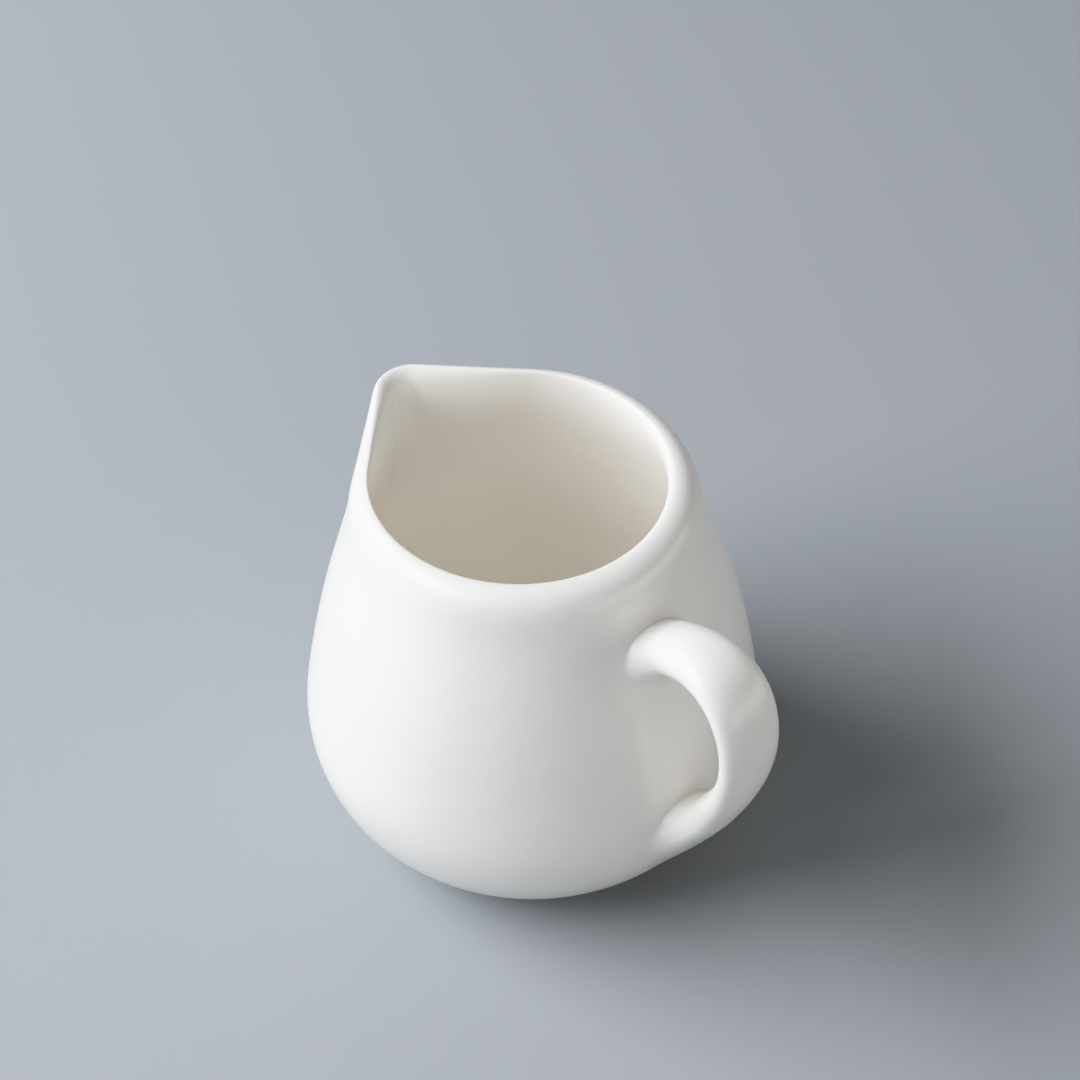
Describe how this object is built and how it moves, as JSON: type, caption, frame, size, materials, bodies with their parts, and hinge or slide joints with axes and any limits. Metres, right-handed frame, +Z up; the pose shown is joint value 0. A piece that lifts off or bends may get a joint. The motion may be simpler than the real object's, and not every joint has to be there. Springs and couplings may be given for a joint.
{
  "type": "cream jug",
  "caption": "Small white porcelain cream jug: pear-shaped body, rounded lip with a pinched spout, and an ear-shaped handle.",
  "frame": {"origin": "under the middle of the jug's outline seen from above, on the surface that its foot ring stands on; the body's own upright axis is 7.3 mm towards the spout from it", "axes": "+X from the spout to the handle, in the jug's mirror plane; +Y to the left of someone who looks along +X; +Z up"},
  "size_m": [0.0896, 0.0746, 0.07],
  "materials": {
    "body_glaze": "clear gloss glaze over white porcelain",
    "handle_glaze": "clear gloss glaze over white porcelain",
    "joint_glaze": "clear gloss glaze over a smoothed slip joint",
    "bare_porcelain": "matte, unglazed and ground flat"
  },
  "bodies": {
    "root": {"jug_body": "body_glaze", "handle": "handle_glaze", "upper_handle_joint": "joint_glaze", "lower_handle_joint": "joint_glaze", "foot_ring": "bare_porcelain"}
  },
  "joints": []
}
